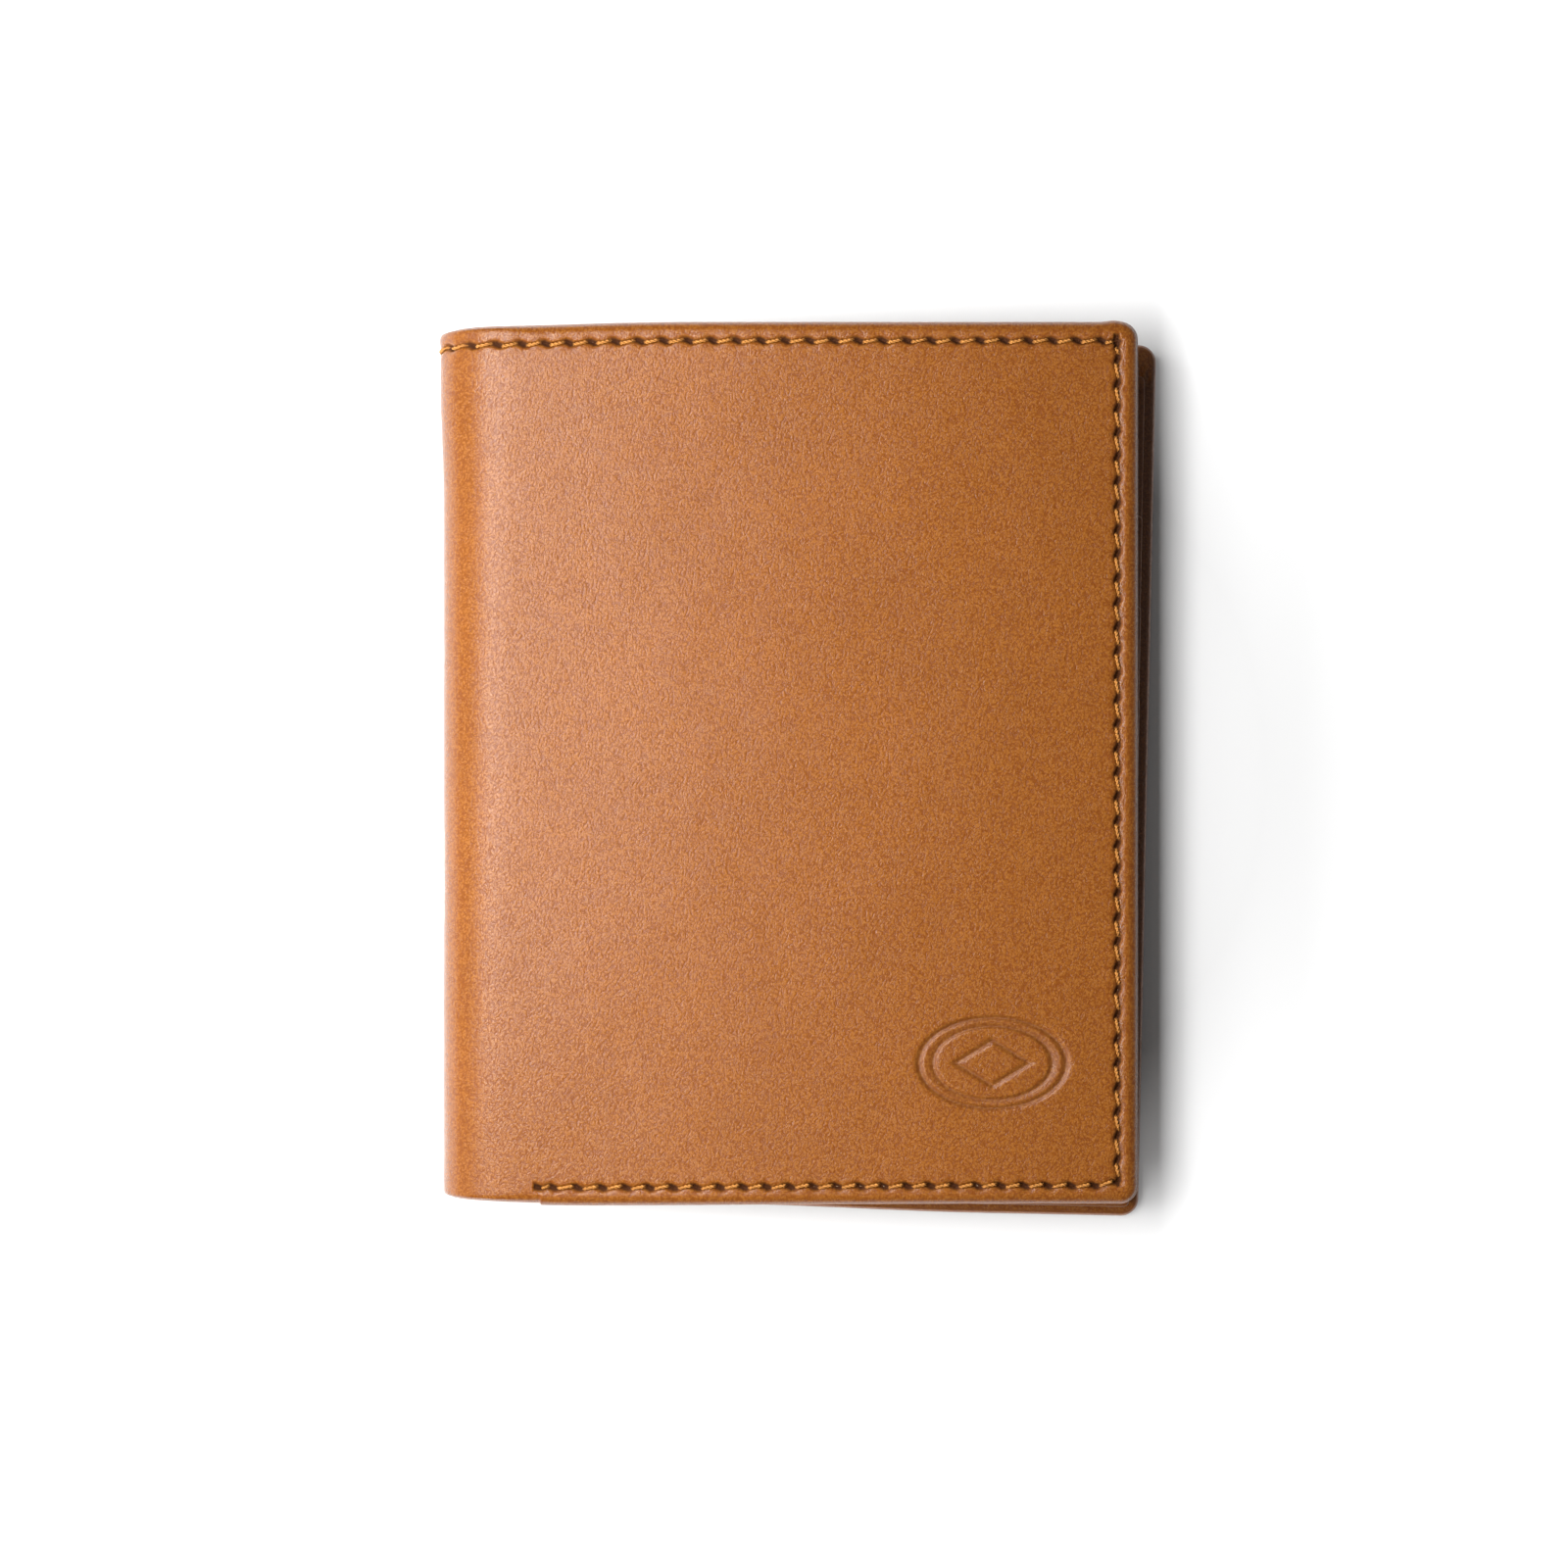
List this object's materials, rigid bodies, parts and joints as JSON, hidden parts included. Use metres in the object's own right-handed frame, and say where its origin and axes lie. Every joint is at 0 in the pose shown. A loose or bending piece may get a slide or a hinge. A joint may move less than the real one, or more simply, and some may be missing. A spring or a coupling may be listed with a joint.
{
  "type": "bifold wallet",
  "caption": "Upright bifold wallet in tan turned-edge leather, with card pockets in both halves and a full-height compartment for notes.",
  "frame": {"origin": "centre of the bounding box's base, on the outer face of the back cover, with the wallet closed", "axes": "+Z from the back cover to the front cover, +Y along the covers to the open top of the pockets, +X from the spine to the free edge"},
  "size_m": [0.1018, 0.1266, 0.0135],
  "materials": {
    "leather": "fine-grained, semi-matt, tan",
    "lining": "woven, matt, brown",
    "board": "pressed fibre, matt",
    "thread": "twisted, slight sheen, golden tan"
  },
  "bodies": {
    "back_half": {"back_cover": "leather", "back_stiffener": "board", "back_lining": "lining", "back_leaf_lining": "lining", "back_leaf": "leather", "back_card_pocket_1": "leather", "back_card_pocket_2": "leather", "back_card_pocket_3": "leather", "back_top_thread": "thread", "back_top_bobbin_thread": "thread", "back_seam_thread": "thread", "back_seam_bobbin_thread": "thread", "back_pocket_thread": "thread"},
    "spine_lower": {"spine_lower_leather": "leather", "spine_lower_lining": "lining", "spine_lower_leaf": "leather", "spine_lower_top_thread": "thread", "spine_lower_top_bobbin_thread": "thread"},
    "spine_upper": {"spine_upper_leather": "leather", "spine_upper_lining": "lining", "spine_upper_leaf": "leather", "spine_upper_top_thread": "thread", "spine_upper_top_bobbin_thread": "thread"},
    "front_half": {"front_cover": "leather", "front_stiffener": "board", "front_lining": "lining", "front_leaf_lining": "lining", "front_leaf": "leather", "front_card_pocket_1": "leather", "front_card_pocket_2": "leather", "front_card_pocket_3": "leather", "front_top_thread": "thread", "front_top_bobbin_thread": "thread", "front_seam_thread": "thread", "front_seam_bobbin_thread": "thread", "front_pocket_thread": "thread"}
  },
  "joints": [
    {"name": "fold_lower", "type": "hinge", "parent": "back_half", "child": "spine_lower", "pos_m": [-0.04709, 0.00095, 0.00063], "axis": [-0.0105, -0.9999, 0], "range_deg": [0, 60]},
    {"name": "fold_middle", "type": "hinge", "parent": "spine_lower", "child": "spine_upper", "pos_m": [-0.05062, 0.00099, 0.00675], "axis": [-0.0105, -0.9999, 0], "range_deg": [0, 60]},
    {"name": "fold_upper", "type": "hinge", "parent": "spine_upper", "child": "front_half", "pos_m": [-0.04709, 0.00095, 0.01287], "axis": [-0.0105, -0.9999, 0], "range_deg": [0, 60]}
  ],
  "couplings": [
    {"joint": "fold_middle", "follows": "fold_lower", "ratio": 1},
    {"joint": "fold_upper", "follows": "fold_lower", "ratio": 1}
  ]
}
